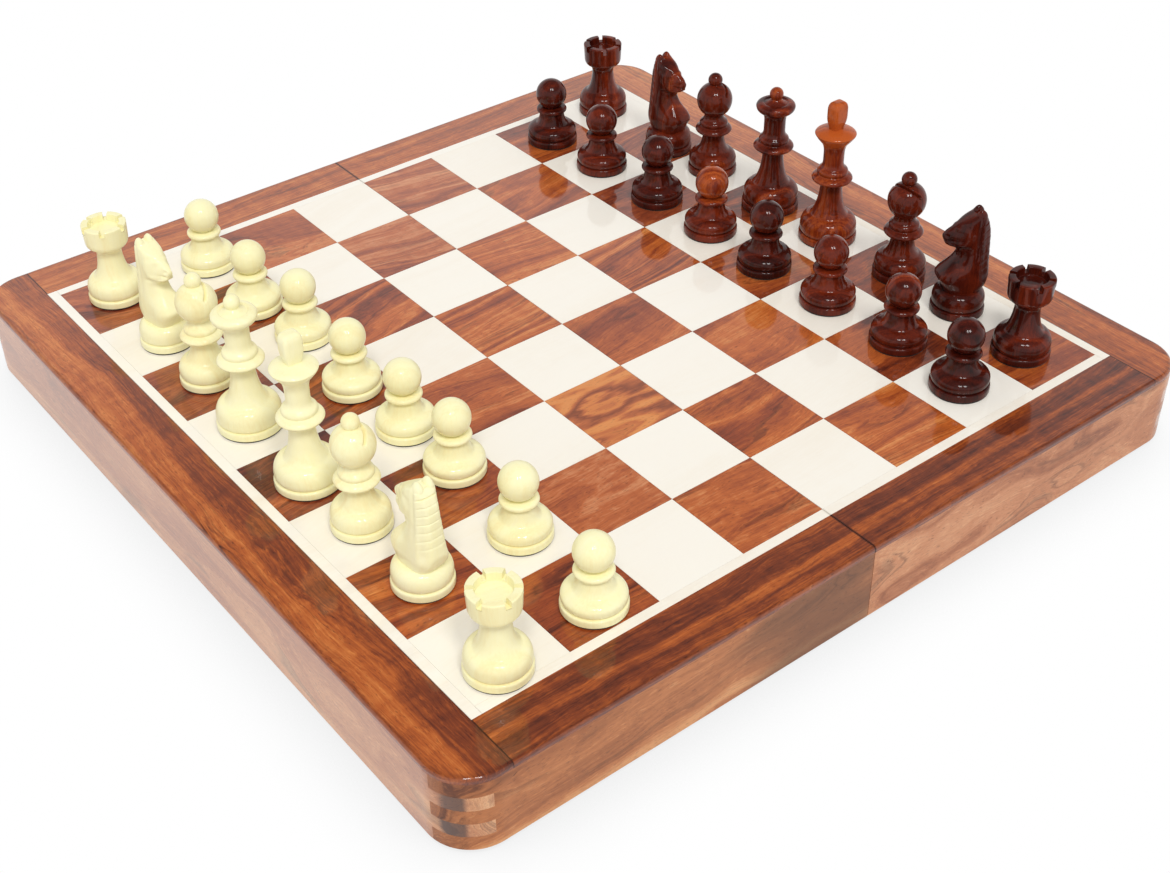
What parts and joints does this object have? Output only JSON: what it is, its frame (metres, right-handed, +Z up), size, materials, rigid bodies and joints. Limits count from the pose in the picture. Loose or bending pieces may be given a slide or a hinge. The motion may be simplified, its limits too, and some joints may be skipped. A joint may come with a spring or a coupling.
{
  "type": "folding chess box",
  "caption": "Square wooden box hinged across the middle: lying open its outside is a chess board with turned men set up on it, and folded shut it stores them.",
  "frame": {"origin": "middle of the open board, at the height of the lowest point, which is the underside of the hinge barrels", "axes": "+Z up, +Y along the fold, +X from the half with the white men towards the half with the black men"},
  "size_m": [0.305, 0.305, 0.0852],
  "materials": {
    "rosewood": "gloss varnish",
    "maple": "gloss varnish",
    "border_rosewood": "gloss varnish",
    "wall_wood": "satin varnish",
    "plywood": "raw",
    "lining_felt": "felt",
    "magnet_steel": "nickel plated",
    "brass": "polished",
    "pin_steel": "plain",
    "boxwood_men": "gloss varnish",
    "rosewood_men": "gloss varnish"
  },
  "bodies": {
    "base": {"base_end_wall": "wall_wood", "base_near_wall": "wall_wood", "base_far_wall": "wall_wood", "base_hinge_wall": "wall_wood", "base_panel": "plywood", "base_border": "border_rosewood", "base_inlay_line": "maple", "base_dark_squares": "rosewood", "base_light_squares": "maple", "base_lining": "lining_felt", "base_closure_magnets": "magnet_steel", "base_hinge_leaves": "brass", "base_hinge_screws": "brass", "hinge_pins": "pin_steel"},
    "lid": {"lid_end_wall": "wall_wood", "lid_near_wall": "wall_wood", "lid_far_wall": "wall_wood", "lid_hinge_wall": "wall_wood", "lid_panel": "plywood", "lid_border": "border_rosewood", "lid_inlay_line": "maple", "lid_dark_squares": "rosewood", "lid_light_squares": "maple", "lid_lining": "lining_felt", "lid_closure_magnets": "magnet_steel", "lid_hinge_leaves": "brass", "lid_hinge_screws": "brass"},
    "white_rook_a1": {"white_rook_a1": "boxwood_men"},
    "white_knight_b1": {"white_knight_b1": "boxwood_men"},
    "white_bishop_c1": {"white_bishop_c1": "boxwood_men"},
    "white_queen": {"white_queen": "boxwood_men"},
    "white_king": {"white_king": "boxwood_men"},
    "white_bishop_f1": {"white_bishop_f1": "boxwood_men"},
    "white_knight_g1": {"white_knight_g1": "boxwood_men"},
    "white_rook_h1": {"white_rook_h1": "boxwood_men"},
    "white_pawn_a2": {"white_pawn_a2": "boxwood_men"},
    "white_pawn_b2": {"white_pawn_b2": "boxwood_men"},
    "white_pawn_c2": {"white_pawn_c2": "boxwood_men"},
    "white_pawn_d2": {"white_pawn_d2": "boxwood_men"},
    "white_pawn_e2": {"white_pawn_e2": "boxwood_men"},
    "white_pawn_f2": {"white_pawn_f2": "boxwood_men"},
    "white_pawn_g2": {"white_pawn_g2": "boxwood_men"},
    "white_pawn_h2": {"white_pawn_h2": "boxwood_men"},
    "black_rook_a8": {"black_rook_a8": "rosewood_men"},
    "black_knight_b8": {"black_knight_b8": "rosewood_men"},
    "black_bishop_c8": {"black_bishop_c8": "rosewood_men"},
    "black_queen": {"black_queen": "rosewood_men"},
    "black_king": {"black_king": "rosewood_men"},
    "black_bishop_f8": {"black_bishop_f8": "rosewood_men"},
    "black_knight_g8": {"black_knight_g8": "rosewood_men"},
    "black_rook_h8": {"black_rook_h8": "rosewood_men"},
    "black_pawn_a7": {"black_pawn_a7": "rosewood_men"},
    "black_pawn_b7": {"black_pawn_b7": "rosewood_men"},
    "black_pawn_c7": {"black_pawn_c7": "rosewood_men"},
    "black_pawn_d7": {"black_pawn_d7": "rosewood_men"},
    "black_pawn_e7": {"black_pawn_e7": "rosewood_men"},
    "black_pawn_f7": {"black_pawn_f7": "rosewood_men"},
    "black_pawn_g7": {"black_pawn_g7": "rosewood_men"},
    "black_pawn_h7": {"black_pawn_h7": "rosewood_men"}
  },
  "joints": [
    {"name": "board_fold", "type": "hinge", "parent": "base", "child": "lid", "pos_m": [0, 0, 0.0011], "axis": [0, 1, 0], "range_deg": [0, 180]},
    {"name": "lift_white_rook_a1", "type": "slide", "parent": "base", "child": "white_rook_a1", "axis": [0, 0, 1], "range_m": [0, 0.06]},
    {"name": "lift_white_knight_b1", "type": "slide", "parent": "base", "child": "white_knight_b1", "axis": [0, 0, 1], "range_m": [0, 0.06]},
    {"name": "lift_white_bishop_c1", "type": "slide", "parent": "base", "child": "white_bishop_c1", "axis": [0, 0, 1], "range_m": [0, 0.06]},
    {"name": "lift_white_queen", "type": "slide", "parent": "base", "child": "white_queen", "axis": [0, 0, 1], "range_m": [0, 0.06]},
    {"name": "lift_white_king", "type": "slide", "parent": "base", "child": "white_king", "axis": [0, 0, 1], "range_m": [0, 0.06]},
    {"name": "lift_white_bishop_f1", "type": "slide", "parent": "base", "child": "white_bishop_f1", "axis": [0, 0, 1], "range_m": [0, 0.06]},
    {"name": "lift_white_knight_g1", "type": "slide", "parent": "base", "child": "white_knight_g1", "axis": [0, 0, 1], "range_m": [0, 0.06]},
    {"name": "lift_white_rook_h1", "type": "slide", "parent": "base", "child": "white_rook_h1", "axis": [0, 0, 1], "range_m": [0, 0.06]},
    {"name": "lift_white_pawn_a2", "type": "slide", "parent": "base", "child": "white_pawn_a2", "axis": [0, 0, 1], "range_m": [0, 0.06]},
    {"name": "lift_white_pawn_b2", "type": "slide", "parent": "base", "child": "white_pawn_b2", "axis": [0, 0, 1], "range_m": [0, 0.06]},
    {"name": "lift_white_pawn_c2", "type": "slide", "parent": "base", "child": "white_pawn_c2", "axis": [0, 0, 1], "range_m": [0, 0.06]},
    {"name": "lift_white_pawn_d2", "type": "slide", "parent": "base", "child": "white_pawn_d2", "axis": [0, 0, 1], "range_m": [0, 0.06]},
    {"name": "lift_white_pawn_e2", "type": "slide", "parent": "base", "child": "white_pawn_e2", "axis": [0, 0, 1], "range_m": [0, 0.06]},
    {"name": "lift_white_pawn_f2", "type": "slide", "parent": "base", "child": "white_pawn_f2", "axis": [0, 0, 1], "range_m": [0, 0.06]},
    {"name": "lift_white_pawn_g2", "type": "slide", "parent": "base", "child": "white_pawn_g2", "axis": [0, 0, 1], "range_m": [0, 0.06]},
    {"name": "lift_white_pawn_h2", "type": "slide", "parent": "base", "child": "white_pawn_h2", "axis": [0, 0, 1], "range_m": [0, 0.06]},
    {"name": "lift_black_rook_a8", "type": "slide", "parent": "lid", "child": "black_rook_a8", "axis": [0, 0, 1], "range_m": [0, 0.06]},
    {"name": "lift_black_knight_b8", "type": "slide", "parent": "lid", "child": "black_knight_b8", "axis": [0, 0, 1], "range_m": [0, 0.06]},
    {"name": "lift_black_bishop_c8", "type": "slide", "parent": "lid", "child": "black_bishop_c8", "axis": [0, 0, 1], "range_m": [0, 0.06]},
    {"name": "lift_black_queen", "type": "slide", "parent": "lid", "child": "black_queen", "axis": [0, 0, 1], "range_m": [0, 0.06]},
    {"name": "lift_black_king", "type": "slide", "parent": "lid", "child": "black_king", "axis": [0, 0, 1], "range_m": [0, 0.06]},
    {"name": "lift_black_bishop_f8", "type": "slide", "parent": "lid", "child": "black_bishop_f8", "axis": [0, 0, 1], "range_m": [0, 0.06]},
    {"name": "lift_black_knight_g8", "type": "slide", "parent": "lid", "child": "black_knight_g8", "axis": [0, 0, 1], "range_m": [0, 0.06]},
    {"name": "lift_black_rook_h8", "type": "slide", "parent": "lid", "child": "black_rook_h8", "axis": [0, 0, 1], "range_m": [0, 0.06]},
    {"name": "lift_black_pawn_a7", "type": "slide", "parent": "lid", "child": "black_pawn_a7", "axis": [0, 0, 1], "range_m": [0, 0.06]},
    {"name": "lift_black_pawn_b7", "type": "slide", "parent": "lid", "child": "black_pawn_b7", "axis": [0, 0, 1], "range_m": [0, 0.06]},
    {"name": "lift_black_pawn_c7", "type": "slide", "parent": "lid", "child": "black_pawn_c7", "axis": [0, 0, 1], "range_m": [0, 0.06]},
    {"name": "lift_black_pawn_d7", "type": "slide", "parent": "lid", "child": "black_pawn_d7", "axis": [0, 0, 1], "range_m": [0, 0.06]},
    {"name": "lift_black_pawn_e7", "type": "slide", "parent": "lid", "child": "black_pawn_e7", "axis": [0, 0, 1], "range_m": [0, 0.06]},
    {"name": "lift_black_pawn_f7", "type": "slide", "parent": "lid", "child": "black_pawn_f7", "axis": [0, 0, 1], "range_m": [0, 0.06]},
    {"name": "lift_black_pawn_g7", "type": "slide", "parent": "lid", "child": "black_pawn_g7", "axis": [0, 0, 1], "range_m": [0, 0.06]},
    {"name": "lift_black_pawn_h7", "type": "slide", "parent": "lid", "child": "black_pawn_h7", "axis": [0, 0, 1], "range_m": [0, 0.06]}
  ]
}
